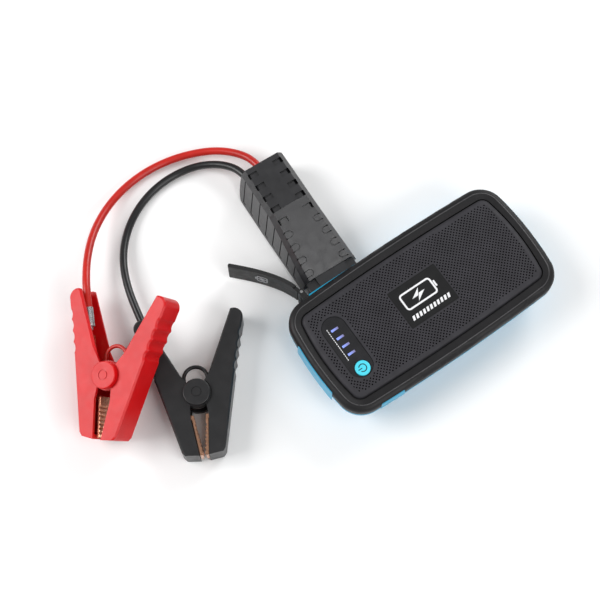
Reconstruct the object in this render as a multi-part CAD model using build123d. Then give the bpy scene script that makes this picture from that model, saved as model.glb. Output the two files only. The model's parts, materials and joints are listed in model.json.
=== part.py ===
"""Car jump starter pack with its smart lead, two battery clamps and an open port cover.

Millimetres. Origin at the centre of the pack's underside. +X runs along the pack, +Y points out of
the port side, where the lead plugs in, and +Z is up. Everything lies on the plane Z = 0.
"""

from math import pi, radians, tan
import os

from build123d import *

# ---- pack: outline, heights and walls
PACK_LENGTH = 162.0
PACK_WIDTH = 83.6
PACK_HEIGHT = 32.5
PACK_BOWS = (3.9, 2.2)   # how far the short and the long sides bulge between their corners
CORNER_RADIUS = 16.5
WALL = 2.0
SEAM_Z = 23.5            # where the lower shell ends and the cover begins
FLANGE_Z = 20.5          # the lower shell's straight flange starts here, and the wall tapers below it
FLANGE_INSET = 0.2
BASE_INSET = 7.5         # how far the foot of the lower shell is set in from the outline
RIM_TOP_Z = 31.4
RIM_ROUND = 3.8
RIM_DISH_Z = 30.6        # the rim dips from its crest to this height beside the pad
PAD_LENGTH = 147.4
PAD_WIDTH = 66.6
PAD_BOWS = (3.4, 1.6)
PAD_CORNER = 6.5
PAD_FLOOR_Z = 29.0
PAD_GAP = 0.8            # groove between the perforated pad and the rim
ACCENT_TOP_Z = 29.3      # the lower shell shows through the cover up to here
ACCENT_GAP = 0.15
ACCENT_BOTTOM_ZS = (13.0, 13.0, 19.5)    # both ends, then the side
COVER_INNER_Z = 27.0

# ---- ports, on the boss that bulges from the +Y side
PORT_X = -33.4
PORT_Z = 10.3
BOSS_FACE_Y = 42.8
BOSS_X = (-55.2, 2.8)
BOSS_Z = (1.2, SEAM_Z - 0.2)
BOSS_DEPTH = 12.0
PLUG_WIDTH = 21.5
PLUG_HEIGHT = 11.6
PLUG_GAP = 0.25
SOCKET_DEPTH = 15.0
USB_OUT = (-12.0, 14.4, 7.2, 14.0)      # x, width, height and depth of the output port's shell
USB_IN = (-50.6, 7.0, 3.2, 12.0)        # the same for the charging port
USB_Z = 12.0

# ---- controls on the pad
PANEL_X = -56.5
PANEL_LENGTH = 43.0
PANEL_WIDTH = 16.0
PANEL_TOP_Z = 32.1
BUTTON_RADIUS = 4.75
BUTTON_Y = -16.0
LED_YS = [13.2, 7.3, 1.4, -4.5]
LED_SIZE = (5.0, 1.5)
LABEL_SIZE = (35.4, 27.0)
LABEL_DEPTH = 0.5

# ---- lead module
MODULE_NEAR_Y = 51.0
MODULE_LENGTH = 81.0
MODULE_BEND = 47.0       # from the plug end to where the top becomes level
MODULE_TOP_Z = 27.0
MODULE_NEAR_Z = (4.0, 16.6)
MODULE_HALF_FOOT = 20.4
MODULE_HALF_TOP = 11.9
MODULE_NEAR_HALF_TOP = 15.0
MODULE_CHAMFER = 3.2
MODULE_END_RADIUS = 8.0  # plan rounding of the two far corners
MODULE_NECK_HALF = 17.0
MODULE_NECK_Z = (4.2, 14.6)
MODULE_YAW = -2.4        # the play of the plug lets the module lie slightly askew
MODULE_WALL = 2.0
MODULE_SCREW_YS = (51.0, 74.0)
NOTCH_FIRST_Y = 75.6     # centre of the notches nearest the cables
NOTCH_PITCH = 8.96
NOTCH_COUNT = 5          # cut deep and square on the level part
LOOP_COUNT = 4           # outlined on the slope below them
GROOVE_COUNT = 8         # grip grooves on each flank
GROOVE_DEPTH = 0.7
NOTCH_DEPTH = 1.3

# ---- cables, each from the module to its clamp
CABLE_DIAMETER = 5.0
RED_ROUTE = [
    (-29.6, 132.6, 12.0), (-30.1, 141.2, 11.8), (-34.8, 151.4, 10.0), (-44.0, 161.8, 7.6),
    (-56.6, 169.8, 5.2), (-72.0, 175.6, 3.5), (-88.6, 178.0, 2.9), (-105.0, 176.6, 3.6),
    (-120.2, 171.8, 5.8), (-133.4, 164.2, 9.4), (-145.0, 154.4, 13.8), (-155.2, 142.0, 18.3),
    (-162.9, 129.6, 22.0), (-167.9, 120.0, 22.5), (-171.2, 113.3, 21.6),
]
BLACK_ROUTE = [
    (-40.6, 132.6, 12.0), (-41.3, 140.0, 11.6), (-45.6, 148.6, 9.8), (-53.0, 156.4, 7.2),
    (-62.8, 162.2, 4.7), (-74.8, 165.2, 3.1), (-88.0, 165.2, 2.8), (-101.0, 162.2, 2.8),
    (-113.0, 156.6, 3.0), (-123.6, 148.6, 3.9), (-132.4, 138.6, 5.6), (-139.0, 127.0, 7.6),
    (-143.8, 113.6, 9.1), (-146.8, 99.8, 9.6), (-148.8, 88.0, 9.6), (-150.4, 78.1, 9.5),
]

# ---- battery clamps, drawn in their own frame: pivot at the origin, handles towards +Y
CLAMP_THICKNESS = 19.0
CHEEK = 2.2
ARM_WALL = 2.4
HUB_RADIUS = 8.8
HUB_GAP = 0.3
PIN_RADIUS = 2.4
PIN_GAP = 0.05
CAP_RADIUS = 8.3
CAP_HEIGHT = 3.0
JAW_SHEET = 1.2
JAW_HALF_WIDTH = 5.5
BRIDGE_RADIUS = 7.3
BRIDGE_CENTRE_Y = 11.3
BRIDGE_DIAMETER = 2.4
CRIMP_LINE = ((-25.2, 40.0, 0.0), (-21.6, 28.4, 0.0))
CLAMP_POSES = {
    "black": Location((-145.6, 31.1, CLAMP_THICKNESS / 2), (0.0, 0.0, -26.4)),
    "red": Location((-181.6, 67.2, 22.0)) * Rotation(0, 0, -47.4) * Rotation(0, -21.5, 0)
    * Rotation(13.7, 0, 0),
}
ROUTES = {"red": RED_ROUTE, "black": BLACK_ROUTE}

# ---- port cover: a rubber strap on a pin at the end of the port boss
FLAP_PIN = (-57.6, 47.0)
FLAP_PIN_RADIUS = 0.95
FLAP_BARREL_RADIUS = 2.0
ANCHOR_X = (-59.6, -55.4)
FLAP_Z = (3.4, 23.2)
FLAP_BARREL_Z = (4.6, 21.4)
FLAP_THICKNESS = 2.4
FLAP_LINE = [(-58.4, 48.8), (-60.6, 55.5), (-66.2, 65.2), (-75.0, 76.3), (-85.4, 87.2)]

# ---- inside the pack
CELL_SIZE = (70.0, 47.0, 5.6)
CELL_CENTRE = (22.0, -4.0)
CELL_COUNT = 3
CELL_PITCH = 6.3
CELL_BOTTOM_Z = 2.6
BOARD_Z = 22.0
BOARD_THICKNESS = 1.6
SCREW_XS = (-63.0, 63.0)
SCREW_YS = (-25.0, 25.0)
TORCH_Z = 13.0
TORCH_RADIUS = 4.5


def box(x, y, z):
    """Box from three (low, high) pairs."""
    centre = ((x[0] + x[1]) / 2, (y[0] + y[1]) / 2, (z[0] + z[1]) / 2)
    return Pos(*centre) * Box(x[1] - x[0], y[1] - y[0], z[1] - z[0])


def rod(start, end, radius):
    """Round bar between two points."""
    axis = Vector(*end) - Vector(*start)
    plane = Plane(origin=start, z_dir=axis)
    return plane * Cylinder(radius, axis.length, align=(Align.CENTER, Align.CENTER, Align.MIN))


def bowed_face(length, width, bows, corner, z, inset=0.0):
    """Rounded rectangle whose four sides bulge outward, drawn at height z."""
    half_x, half_y = length / 2 - inset, width / 2 - inset
    x, y = half_x - bows[0], half_y - bows[1]
    arcs = [
        ThreePointArc((-x, -y), (0, -half_y), (x, -y)),
        ThreePointArc((x, -y), (half_x, 0), (x, y)),
        ThreePointArc((x, y), (0, half_y), (-x, y)),
        ThreePointArc((-x, y), (-half_x, 0), (-x, -y)),
    ]
    face = make_face(Curve() + arcs)
    return Pos(0, 0, z) * fillet(face.vertices(), corner)


def pack_face(z, inset=0.0):
    return bowed_face(PACK_LENGTH, PACK_WIDTH, PACK_BOWS, CORNER_RADIUS - inset * 0.6, z, inset)


def pad_face(z, inset=0.0):
    return bowed_face(PAD_LENGTH, PAD_WIDTH, PAD_BOWS, PAD_CORNER - inset * 0.6, z, inset)


def tube_along(points, radii, diameter):
    """Round tube along straight runs joined by tangent arcs, with its volume as a check."""
    path = FilletPolyline(*points, radius=radii)
    profile = Plane(origin=path @ 0, z_dir=path % 0) * Circle(diameter / 2)
    tube = sweep(profile, path=path)
    expected = pi * diameter ** 2 / 4 * path.length
    assert abs(tube.volume - expected) < 0.02 * expected, "the tube does not follow its path"
    return tube, path.length


def arc_radii(points):
    """Arc radius at each inner point of a route: as large as its two runs allow."""
    radii = []
    for before, here, after in zip(points, points[1:], points[2:]):
        first, second = Vector(*here) - Vector(*before), Vector(*after) - Vector(*here)
        turn = radians(first.get_angle(second))
        radii.append(0.45 * min(first.length, second.length) / tan(turn / 2))
    return radii


# ------------------------------------------------------------------ pack housings

def accent_zones(low, high, gap=0.0):
    """Blocks that mark where the lower shell shows through the cover, on both ends and one side."""
    end = [(-95, -40), (-77.9 - gap, -15.0 + gap), (-77.9 - gap, 15.0 - gap), (-95, 40)]
    side = [(-72, -60), (-59.5 + gap, -39.9 - gap), (-43.5 - gap, -39.9 - gap), (-31, -60)]
    plans = [end, [(-x, y) for x, y in end], side]
    return [extrude(Pos(0, 0, low) * make_face(Polyline(*plan, close=True)), high - low) for plan in plans]


def cover_block():
    """The cover's outer shape: a rounded rim with a crest, dished towards the pad."""
    block = extrude(pack_face(SEAM_Z), RIM_TOP_Z - SEAM_Z)
    block = fillet(block.faces().sort_by(Axis.Z)[-1].outer_wire().edges(), RIM_ROUND)
    return block - loft([pad_face(RIM_DISH_Z, -0.3), pack_face(RIM_TOP_Z + 0.05, RIM_ROUND - 0.3)])


def screw_points():
    return [(x, y) for x in SCREW_XS for y in SCREW_YS]


def shell_block():
    """The lower shell's outer shape, with a tapered wall below a straight flange."""
    wall = loft([pack_face(0, BASE_INSET), pack_face(FLANGE_Z, 0.9)])
    wall = fillet(wall.faces().sort_by(Axis.Z)[0].outer_wire().edges(), 2.5)
    return wall + extrude(pack_face(FLANGE_Z, FLANGE_INSET), SEAM_Z - FLANGE_Z)


def make_bottom_shell():
    shell = shell_block()
    lowers = accent_zones(0, SEAM_Z)
    uppers = accent_zones(SEAM_Z, ACCENT_TOP_Z, ACCENT_GAP)
    for bottom_z, lower, upper in zip(ACCENT_BOTTOM_ZS, lowers, uppers):
        shell += extrude(pack_face(bottom_z), SEAM_Z - bottom_z) & lower
        shell += cover_block() & upper
    boss = box(BOSS_X, (BOSS_FACE_Y - BOSS_DEPTH, BOSS_FACE_Y), BOSS_Z)
    boss = fillet(boss.edges().filter_by(Axis.Z).group_by(Axis.Y)[-1], 0.8)
    shell += boss
    hollow = loft([pack_face(WALL, BASE_INSET + WALL), pack_face(FLANGE_Z, 0.9 + WALL)])
    shell -= hollow + extrude(pack_face(FLANGE_Z, 0.9 + WALL), SEAM_Z - FLANGE_Z)
    inner_x, inner_z = (BOSS_X[0] + WALL, BOSS_X[1] - WALL), (BOSS_Z[0] + WALL, BOSS_Z[1] - WALL)
    shell -= box(inner_x, (25, BOSS_FACE_Y - WALL), inner_z)
    for x, y in screw_points():
        shell += rod((x, y, WALL), (x, y, 8.0), 4.0)
        shell -= rod((x, y, -1), (x, y, 9.0), 1.7)
        shell -= rod((x, y, -1), (x, y, 3.0), 3.3)
    for x, z, width, height in port_mouths():
        shell -= box((x - width / 2, x + width / 2), (25, 50), (z - height / 2, z + height / 2))
    return shell - rod((60, 0, TORCH_Z), (90, 0, TORCH_Z), TORCH_RADIUS)


def port_mouths():
    """Centre and size of each opening through the boss."""
    usb = [(x, USB_Z, width + 0.6, height + 0.6) for x, width, height, _ in (USB_OUT, USB_IN)]
    return [(PORT_X, PORT_Z, 26.4, 15.4), *usb]


def make_cover_anchor():
    """Black block at the end of the boss, with two ears that hold the port cover's pin."""
    x, y = FLAP_PIN
    anchor = box(ANCHOR_X, (BOSS_FACE_Y - 6.0, BOSS_FACE_Y), BOSS_Z)
    for low, high in ((FLAP_BARREL_Z[0] - 2.2, FLAP_BARREL_Z[0] - 0.2), (FLAP_BARREL_Z[1] + 0.2, BOSS_Z[1])):
        ear = rod((x, y, low), (x, y, high), 1.9) + box((x - 1.9, x + 1.9), (BOSS_FACE_Y - 1, y), (low, high))
        anchor += ear
    anchor -= shell_block()
    return anchor - rod((x, y, 0), (x, y, 30), FLAP_PIN_RADIUS)


def make_top_cover():
    cover = cover_block()
    cover = chamfer(cover.faces().sort_by(Axis.Z)[0].outer_wire().edges(), 0.5)
    cover -= accent_zones(SEAM_Z - 1, ACCENT_TOP_Z + ACCENT_GAP)
    cover -= extrude(pack_face(SEAM_Z, 3.0), COVER_INNER_Z - SEAM_Z)
    cover -= extrude(pad_face(PAD_FLOOR_Z), 5)
    for x, y in screw_points():
        cover += rod((x, y, 8.2), (x, y, COVER_INNER_Z), 3.4)
        cover -= rod((x, y, 8.0), (x, y, COVER_INNER_Z - 1), 1.25)
    cover -= rod((PANEL_X, BUTTON_Y, 20), (PANEL_X, BUTTON_Y, 40), 2.4)
    return cover - led_bars(20, 40, 0.0)


def led_bars(low, high, grow):
    """The four status bars as one compound of boxes, between two heights."""
    half_x, half_y = LED_SIZE[0] / 2 + grow, LED_SIZE[1] / 2 + grow
    bars = [box((PANEL_X - half_x, PANEL_X + half_x), (y - half_y, y + half_y), (low, high)) for y in LED_YS]
    return bars[0] + bars[1:]


def obround(length, width, low, high):
    """Stadium-shaped block along Y at the indicator panel's place."""
    outline = Rot(0, 0, 90) * SlotOverall(length, width)
    return extrude(Pos(PANEL_X, 0, low) * outline, high - low)


def make_perforated_pad():
    pad = extrude(pad_face(PAD_FLOOR_Z, PAD_GAP), PACK_HEIGHT - PAD_FLOOR_Z)
    pad = fillet(pad.faces().sort_by(Axis.Z)[-1].outer_wire().edges(), 1.4)
    pad -= obround(PANEL_LENGTH, PANEL_WIDTH, PAD_FLOOR_Z - 1, 40)
    x, y = LABEL_SIZE[0] / 2, LABEL_SIZE[1] / 2
    return pad - box((-x, x), (-y, y), (PACK_HEIGHT - LABEL_DEPTH, 40))


def make_label_plate():
    x, y = LABEL_SIZE[0] / 2 - 0.1, LABEL_SIZE[1] / 2 - 0.1
    plate = box((-x, x), (-y, y), (PACK_HEIGHT - LABEL_DEPTH, PACK_HEIGHT + 0.1))
    return fillet(plate.edges().filter_by(Axis.Z), 1.0)


def make_indicator_panel():
    panel = obround(PANEL_LENGTH - 0.4, PANEL_WIDTH - 0.4, PAD_FLOOR_Z, PANEL_TOP_Z)
    panel -= rod((PANEL_X, BUTTON_Y, 20), (PANEL_X, BUTTON_Y, 40), BUTTON_RADIUS + 0.35)
    return panel - led_bars(20, 40, 0.0)


def make_power_button():
    x, y = PANEL_X, BUTTON_Y
    cap = rod((x, y, PAD_FLOOR_Z + 0.9), (x, y, PACK_HEIGHT + 0.4), BUTTON_RADIUS)
    cap = fillet(cap.edges().sort_by(Axis.Z)[-1], 0.5)
    stem = rod((x, y, 25.6), (x, y, PAD_FLOOR_Z + 1), 2.05)
    return cap + stem + rod((x, y, 25.9), (x, y, COVER_INNER_Z - 0.1), 3.2)


# ------------------------------------------------------------------ inside the pack

def make_main_board():
    board = box((-74, -18), (-29, 29), (BOARD_Z, BOARD_Z + BOARD_THICKNESS))
    board = fillet(board.edges().filter_by(Axis.Z), 10.0)
    for x, y in screw_points():
        board -= rod((x, y, 0), (x, y, 40), 3.9)
    return board


def board_components():
    """Chips, an inductor and capacitors hanging under the main board."""
    places = [
        (-30, -14, 9, 9, 4.5), (-30, 2, 7, 7, 3.0), (-44, -10, 10, 10, 5.5), (-46, 6, 6, 5, 1.6),
        (-58, 4, 8, 6, 2.2),
    ]
    return [
        box((x - a / 2, x + a / 2), (y - b / 2, y + b / 2), (BOARD_Z - h, BOARD_Z))
        for x, y, a, b, h in places
    ]


def status_leds():
    top = BOARD_Z + BOARD_THICKNESS
    return [box((PANEL_X - 1.6, PANEL_X + 1.6), (y - 0.6, y + 0.6), (top, top + 0.9)) for y in LED_YS]


def make_button_switch():
    base = BOARD_Z + BOARD_THICKNESS
    body = box((PANEL_X - 3, PANEL_X + 3), (BUTTON_Y - 3, BUTTON_Y + 3), (base, base + 0.7))
    return body + rod((PANEL_X, BUTTON_Y, base), (PANEL_X, BUTTON_Y, base + 1.1), 1.6)


def battery_cell(index):
    x, y, z = CELL_SIZE
    low = CELL_BOTTOM_Z + index * CELL_PITCH
    cell = Pos(*CELL_CENTRE, low + z / 2) * Box(x, y, z)
    return fillet(cell.edges().filter_by(Axis.Z), 2.0)


def cell_foam():
    """Foam sheets under the stack and between its cells."""
    x, y, z = CELL_SIZE
    lows = [WALL] + [CELL_BOTTOM_Z + i * CELL_PITCH + z for i in range(CELL_COUNT)]
    thick = CELL_PITCH - z
    sheets = [Pos(*CELL_CENTRE, low + 0.3) * Box(x - 6, y - 6, 0.6) for low in lows[:1]]
    return sheets + [Pos(*CELL_CENTRE, low + thick / 2) * Box(x - 6, y - 6, thick) for low in lows[1:]]


def cell_tabs():
    """Two nickel tabs out of the end of each cell."""
    end = CELL_CENTRE[0] - CELL_SIZE[0] / 2
    tabs = []
    for index in range(CELL_COUNT):
        z = CELL_BOTTOM_Z + index * CELL_PITCH + CELL_SIZE[2] / 2
        for y in (-16, 6):
            tabs.append(box((end - 4, end), (y - 4, y + 4), (z - 0.15, z + 0.15)))
    return tabs


def make_usb_board():
    board = box((-52.8, -4), (22, 33.5), (USB_Z - 6.2, USB_Z - 4.8))
    return board - box((PORT_X - 13.4, PORT_X + 13.4), (27.2, 40), (0, 20))


def usb_port(x, width, height, depth):
    """A pressed metal USB shell with its tongue, its mouth flush with the boss."""
    x_range, z_range = (x - width / 2, x + width / 2), (USB_Z - height / 2, USB_Z + height / 2)
    shell = box(x_range, (BOSS_FACE_Y - depth, BOSS_FACE_Y - 0.6), z_range)
    inner_x, inner_z = (x_range[0] + 0.5, x_range[1] - 0.5), (z_range[0] + 0.5, z_range[1] - 0.5)
    shell -= box(inner_x, (BOSS_FACE_Y - depth + 1.2, BOSS_FACE_Y + 1), inner_z)
    tongue_z = (USB_Z + height * 0.15, USB_Z + height * 0.15 + 0.7)
    tongue = box((inner_x[0] + 1, inner_x[1] - 1), (BOSS_FACE_Y - depth + 1, BOSS_FACE_Y - 2.5), tongue_z)
    foot = box((x - width / 3, x + width / 3), (BOSS_FACE_Y - depth, 33.5), (USB_Z - 4.8, z_range[0]))
    return shell + tongue + foot


def make_ec5_socket():
    half_x, half_z = 13.1, 7.6
    front, back = BOSS_FACE_Y - 0.3, BOSS_FACE_Y - SOCKET_DEPTH
    socket = box((PORT_X - half_x, PORT_X + half_x), (back, front), (PORT_Z - half_z, PORT_Z + half_z))
    grow_x, grow_z = PLUG_WIDTH / 2 + PLUG_GAP, PLUG_HEIGHT / 2 + PLUG_GAP
    socket -= box(
        (PORT_X - grow_x, PORT_X + grow_x), (back + 1.5, front + 1), (PORT_Z - grow_z, PORT_Z + grow_z)
    )
    for x in contact_xs():
        socket -= rod((x, back - 1, PORT_Z), (x, back + 2, PORT_Z), 2.5)
    return socket


def contact_xs():
    return (PORT_X - 5.2, PORT_X + 5.2)


def socket_pins():
    back = BOSS_FACE_Y - SOCKET_DEPTH
    return [rod((x, back - 3, PORT_Z), (x, back + 11, PORT_Z), 2.5) for x in contact_xs()]


def battery_lead(x):
    """Short wire from a socket pin up to the main board, made whole."""
    start = BOSS_FACE_Y - SOCKET_DEPTH - 3
    points = [(x, start, PORT_Z), (x, start - 9, PORT_Z), (x, start - 12, PORT_Z + 6), (x, start - 12, BOARD_Z)]
    return tube_along(points, [3.0, 3.0], 3.2)[0]


def case_screws():
    return [
        rod((x, y, 0.8), (x, y, 3.0), 3.0) + rod((x, y, 3.0), (x, y, 20.0), 1.25)
        for x, y in screw_points()
    ]


def make_torch_lens():
    return rod((74.0, 0, TORCH_Z), (81.0, 0, TORCH_Z), TORCH_RADIUS)


def make_torch_led():
    board = box((69, 70.5), (-6, 6), (TORCH_Z - 6, TORCH_Z + 6))
    return board + rod((70.5, 0, TORCH_Z), (74.0, 0, TORCH_Z), 3.0)


# ------------------------------------------------------------------ port cover

def flap_outline():
    """Plan of the strap: its centre line thickened, with a thicker plug near the free end."""
    line = Spline(*FLAP_LINE)
    strap = trace(line, line_width=FLAP_THICKNESS)
    return strap, line


def make_port_cover():
    x, y = FLAP_PIN
    strap, line = flap_outline()
    cover = extrude(Pos(0, 0, FLAP_Z[0]) * strap, FLAP_Z[1] - FLAP_Z[0])
    rounding = cover.edges().filter_by(Axis.Z).sort_by(lambda e: (e.center() - (line @ 1)).length)[:2]
    cover = fillet(rounding, 0.9)
    cover -= box((x - 4, x + 4), (y - 3, y + 5), (0, FLAP_BARREL_Z[0]))
    cover -= box((x - 4, x + 4), (y - 3, y + 5), (FLAP_BARREL_Z[1], 30))
    cover += rod((x, y, FLAP_BARREL_Z[0]), (x, y, FLAP_BARREL_Z[1]), FLAP_BARREL_RADIUS)
    return cover - rod((x, y, 0), (x, y, 30), FLAP_PIN_RADIUS + 0.05)


def make_cover_pin():
    x, y = FLAP_PIN
    return rod((x, y, FLAP_BARREL_Z[0] - 2.0), (x, y, SEAM_Z - 0.4), FLAP_PIN_RADIUS)


# ------------------------------------------------------------------ lead module

def module_section(y, low, high, half_top, shrink):
    """Cross-section of the module: flared sides below, a chamfer along each top edge."""
    foot, edge = MODULE_HALF_FOOT - shrink, half_top + MODULE_CHAMFER
    points = [
        (-foot, low + 1.2), (-foot + 1.2, low), (foot - 1.2, low), (foot, low + 1.2),
        (edge, high - MODULE_CHAMFER), (half_top, high), (-half_top, high), (-edge, high - MODULE_CHAMFER),
    ]
    return make_face(Polyline(*[(x, y, z) for x, z in points], close=True))


def module_block(shrink=0.0):
    """The whole module as a solid, or its hollow when shrunk by the wall."""
    far = MODULE_LENGTH - shrink
    near_low, near_high = (MODULE_NEAR_Z[0] + shrink, MODULE_NEAR_Z[1] - shrink)
    near = module_section(shrink, near_low, near_high, MODULE_NEAR_HALF_TOP - shrink, shrink)
    bend = module_section(MODULE_BEND, shrink, MODULE_TOP_Z - shrink, MODULE_HALF_TOP - shrink, shrink)
    end = module_section(far, shrink, MODULE_TOP_Z - shrink, MODULE_HALF_TOP - shrink, shrink)
    block = loft([near, bend], ruled=True) + loft([bend, end], ruled=True)
    half = MODULE_HALF_FOOT - shrink
    plan = box((-half, half), (-10, far), (-1, 40))
    corners = plan.edges().filter_by(Axis.Z).group_by(Axis.Y)[-1]
    return block & fillet(corners, MODULE_END_RADIUS - shrink)


def place_module(solid):
    """Put a piece drawn from the module's plug end, with Y along it, where the lead lies."""
    return Pos(PORT_X, MODULE_NEAR_Y, 0) * Rot(0, 0, MODULE_YAW) * solid


def above_seam():
    """Space above the line where the lid meets the body, which follows the top's slope."""
    near = MODULE_NEAR_Z[1] - MODULE_CHAMFER
    level = MODULE_TOP_Z - MODULE_CHAMFER
    profile = Polyline(
        (0, -5, near - 0.2), (0, 0, near), (0, MODULE_BEND, level), (0, 120, level), (0, 120, 60), (0, -5, 60),
        close=True,
    )
    return Pos(-40, 0, 0) * extrude(make_face(profile), 80, dir=(1, 0, 0))


def slope_at(y):
    """0 at the module's plug end, 1 from where its top is level."""
    return min(1.0, max(0.0, y / MODULE_BEND))


def notches():
    """Square recesses along both edges of the level part of the top."""
    cuts = []
    for index in range(NOTCH_COUNT):
        y = NOTCH_FIRST_Y - index * NOTCH_PITCH
        for side in (-1, 1):
            inner, outer = side * (MODULE_HALF_TOP - 6.0), side * (MODULE_HALF_TOP + 0.4)
            cuts.append(box(sorted((inner, outer)), (y - 1.9, y + 1.9), (15, 40)))
    return cuts


def loops():
    """Outlined finger marks along both edges of the sloping part of the top."""
    cuts = []
    for index in range(NOTCH_COUNT, NOTCH_COUNT + LOOP_COUNT):
        y = NOTCH_FIRST_Y - index * NOTCH_PITCH
        half = MODULE_NEAR_HALF_TOP + (MODULE_HALF_TOP - MODULE_NEAR_HALF_TOP) * slope_at(y)
        for side in (-1, 1):
            ring = SlotOverall(12.0, 4.6) - SlotOverall(10.8, 3.4)
            mark = extrude(Pos(side * (half + 0.8), y, 5) * ring, 40)
            cuts.append(mark & box(sorted((0, side * (half + 0.6))), (y - 4, y + 4), (5, 40)))
    return cuts


def grooves():
    """Grip grooves down both flanks, each leaning towards the plug and ending in a short foot."""
    cuts = []
    for index in range(GROOVE_COUNT):
        y = NOTCH_FIRST_Y - index * NOTCH_PITCH
        top = MODULE_NEAR_Z[1] + (MODULE_TOP_Z - MODULE_NEAR_Z[1]) * slope_at(y) - MODULE_CHAMFER
        low = 3.6 + MODULE_NEAR_Z[0] * (1 - slope_at(y))
        lean = 0.19 * (top - low)
        outline = [
            (y + 0.4, top), (y - 0.4, top), (y - lean - 0.4, low + 0.8), (y - lean - 2.6, low + 0.8),
            (y - lean - 2.6, low), (y - lean + 0.4, low),
        ]
        profile = make_face(Polyline(*[(0, a, b) for a, b in outline], close=True))
        for side in (-1, 1):
            cuts.append(extrude(Pos(side * 10, 0, 0) * profile, 15 * side, dir=(1, 0, 0)))
    return cuts


def cable_holes(radius):
    """Bores for the two cables through the module's far wall, in the pack's frame."""
    holes = []
    for route in ROUTES.values():
        x, y, z = route[0]
        holes.append(rod((x, y - 8, z), (x, y + 3, z), radius))
    return holes


def plug_pocket():
    """Room in the module's near wall for the plug's body."""
    half_x, half_z = PLUG_WIDTH / 2, PLUG_HEIGHT / 2
    return box((PORT_X - half_x, PORT_X + half_x), (40, MODULE_NEAR_Y + 9), (PORT_Z - half_z, PORT_Z + half_z))


def make_module_pieces():
    """Body and lid of the module, split along the seam and hollow inside."""
    solid, hollow = module_block(), module_block(MODULE_WALL)
    fine_skin, deep_skin = solid - module_block(GROOVE_DEPTH), solid - module_block(NOTCH_DEPTH)
    whole = solid - [fine_skin & cut for cut in loops() + grooves()] - [deep_skin & cut for cut in notches()]
    lid_space = above_seam()
    neck_x = (PORT_X - MODULE_NECK_HALF, PORT_X + MODULE_NECK_HALF)
    neck = box(neck_x, (BOSS_FACE_Y + 0.4, MODULE_NEAR_Y + 2.5), MODULE_NECK_Z)
    body = place_module(whole - lid_space) + (neck - place_module(lid_space))
    body = body - place_module(hollow) - plug_pocket() - cable_holes(3.6)
    lid = place_module((whole & lid_space) - hollow) - plug_pocket()
    return body, lid


def make_ec5_plug():
    x_range = (PORT_X - PLUG_WIDTH / 2, PORT_X + PLUG_WIDTH / 2)
    z_range = (PORT_Z - PLUG_HEIGHT / 2, PORT_Z + PLUG_HEIGHT / 2)
    plug = box(x_range, (BOSS_FACE_Y - 12.5, MODULE_NEAR_Y + 9), z_range)
    plug = chamfer(plug.edges().filter_by(Axis.Z).group_by(Axis.Y)[0], 2.0)
    for x in contact_xs():
        plug -= rod((x, 0, PORT_Z), (x, 80, PORT_Z), 3.4)
    return plug


def plug_sleeves():
    sleeves = []
    for x in contact_xs():
        sleeve = rod((x, BOSS_FACE_Y - 12.0, PORT_Z), (x, MODULE_NEAR_Y + 11, PORT_Z), 3.4)
        sleeves.append(sleeve - rod((x, BOSS_FACE_Y - 13, PORT_Z), (x, BOSS_FACE_Y - 2, PORT_Z), 2.56))
    return sleeves


def make_module_board():
    return place_module(box((-13, 13), (14, 74), (5.0, 6.6)))


def module_components():
    places = [(-7, 20, 6, 6, 1.2), (6, 24, 8, 10, 2.5), (-6, 32, 5, 8, 1.5), (7, 40, 5, 5, 2.0)]
    return [
        place_module(box((x - a / 2, x + a / 2), (y - b / 2, y + b / 2), (6.6, 6.6 + h)))
        for x, y, a, b, h in places
    ]


def make_module_relay():
    return place_module(box((-9.5, 9.5), (49, 65), (6.6, 21.0)))


def module_screws():
    """Two screws up through the module's floor."""
    return [
        place_module(rod((0, y, 0.4), (0, y, 2.0), 2.4) + rod((0, y, 2.0), (0, y, 4.8), 1.1))
        for y in MODULE_SCREW_YS
    ]


def screw_recesses():
    return [place_module(rod((0, y, -1), (0, y, 2.05), 2.5)) for y in MODULE_SCREW_YS]


def make_grommet(name):
    x, y, z = ROUTES[name][0]
    return rod((x, y - 3, z), (x, y, z), 3.6)


# ------------------------------------------------------------------ clamps

def arm_face():
    """Plan of the right arm, from the jaw's tip round the handle's tip and back to the pivot."""
    outer = Polyline((2.9, -38.6), (11.4, -37.6), (13.2, -35.4), (23.6, 7.0), (33.4, 42.9))
    tip = ThreePointArc((33.4, 42.9), (32.4, 49.0), (26.8, 50.6))
    inner = Polyline((26.8, 50.6), (8.6, 11.6), (5.4, 7.0), (0, 0), (5.0, -8.0), (5.6, -15.0), (2.9, -38.6))
    return make_face(Curve() + [outer, tip, inner])


def arm_scallops():
    """Scallops pressed into the outer edge of a handle."""
    along = (Vector(33.4, 42.9) - Vector(23.6, 7.0)).normalized()
    away = Vector(along.Y, -along.X)
    spots = [Vector(25.6, 14.3) + along * (7.0 * i) + away * 4.7 for i in range(4)]
    return [Pos(spot.X, spot.Y) * Circle(5.6) for spot in spots]


def arm_hollow(open_tip):
    """Channel between the two cheeks, open along the inner edge and as deep as the outer wall."""
    tip = [(32.6, 54), (18, 54)] if open_tip else [(30.3, 45.0), (28.6, 48.4), (18, 48.4)]
    points = [(-1, -36.2), (10.4, -35.4), (20.9, 8.0), *tip, (-1, 8)]
    half = CLAMP_THICKNESS / 2 - CHEEK
    return extrude(Pos(0, 0, -half) * make_face(Polyline(*points, close=True)), 2 * half)


def both_sides(face, low, high):
    """A plan extruded between two distances from the mid plane, on each side of it."""
    upper = extrude(Pos(0, 0, low) * face, high - low)
    return upper + extrude(Pos(0, 0, -high) * face, high - low)


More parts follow.
